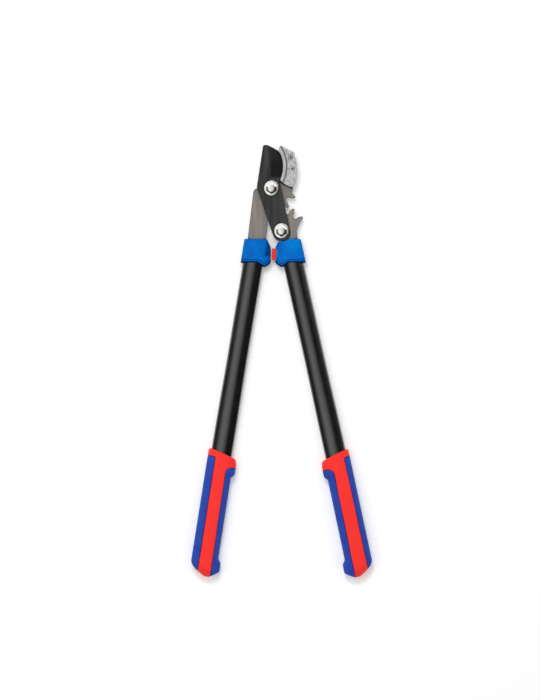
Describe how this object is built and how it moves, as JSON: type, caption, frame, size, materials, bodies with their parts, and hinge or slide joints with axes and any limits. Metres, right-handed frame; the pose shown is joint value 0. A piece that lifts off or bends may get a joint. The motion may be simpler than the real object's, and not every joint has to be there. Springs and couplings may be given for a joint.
{
  "type": "anvil lopper",
  "caption": "Geared anvil lopper: a curved blade lever closes on a screwed-on anvil, driven by meshing toothed arms on long oval tube handles with moulded grips.",
  "frame": {"origin": "where the axis of the main pivot meets the plane that the lopper lies on, at the rear end of the main pivot bolt", "axes": "+Y towards the blade's tip, +Z out of the front of the lopper along both pivots, +X towards the anvil and the right handle"},
  "size_m": [0.2979, 0.7117, 0.033],
  "materials": {
    "arm_steel": "satin rolled steel plate, lightly darkened",
    "blade_coating": "satin black non-stick coating on steel",
    "anvil_alloy": "as-cast light alloy",
    "bright_steel": "bright plated steel",
    "zinc_steel": "zinc plated steel",
    "blue_plastic": "glossy moulded plastic",
    "red_rubber": "matt rubber",
    "tube_paint": "semi-gloss black paint on aluminium tube",
    "red_plastic": "satin moulded plastic",
    "soft_blue": "soft-touch overmoulding"
  },
  "bodies": {
    "left_handle": {"hook_arm": "arm_steel", "anvil": "anvil_alloy", "anvil_screw_upper": "zinc_steel", "anvil_screw_lower": "zinc_steel", "main_pivot_bolt": "bright_steel", "main_pivot_spacer": "zinc_steel", "main_pivot_washer": "zinc_steel", "main_pivot_nut": "zinc_steel", "left_collar": "blue_plastic", "left_tube": "tube_paint", "left_rivet_upper": "zinc_steel", "left_rivet_lower": "zinc_steel", "left_grip_core": "red_plastic", "left_grip_outer_pad": "soft_blue", "left_grip_inner_pad": "soft_blue"},
    "blade": {"blade_lever": "blade_coating", "link_bolt": "bright_steel", "link_spacer": "zinc_steel", "link_washer": "zinc_steel", "link_nut": "zinc_steel"},
    "right_handle": {"right_arm": "arm_steel", "right_collar": "blue_plastic", "bumper": "red_rubber", "right_tube": "tube_paint", "right_rivet_upper": "zinc_steel", "right_rivet_lower": "zinc_steel", "right_grip_core": "red_plastic", "right_grip_outer_pad": "soft_blue", "right_grip_inner_pad": "soft_blue"}
  },
  "joints": [
    {"name": "blade_pivot", "type": "hinge", "parent": "left_handle", "child": "blade", "pos_m": [0, 0, 0.0216], "axis": [0, 0, 1], "range_deg": [0, 46]},
    {"name": "handle_pivot", "type": "hinge", "parent": "blade", "child": "right_handle", "pos_m": [0.01661, -0.07026, 0.015], "axis": [0, 0, 1], "range_deg": [0, 46]}
  ],
  "couplings": [
    {"joint": "handle_pivot", "follows": "blade_pivot", "ratio": 1}
  ]
}
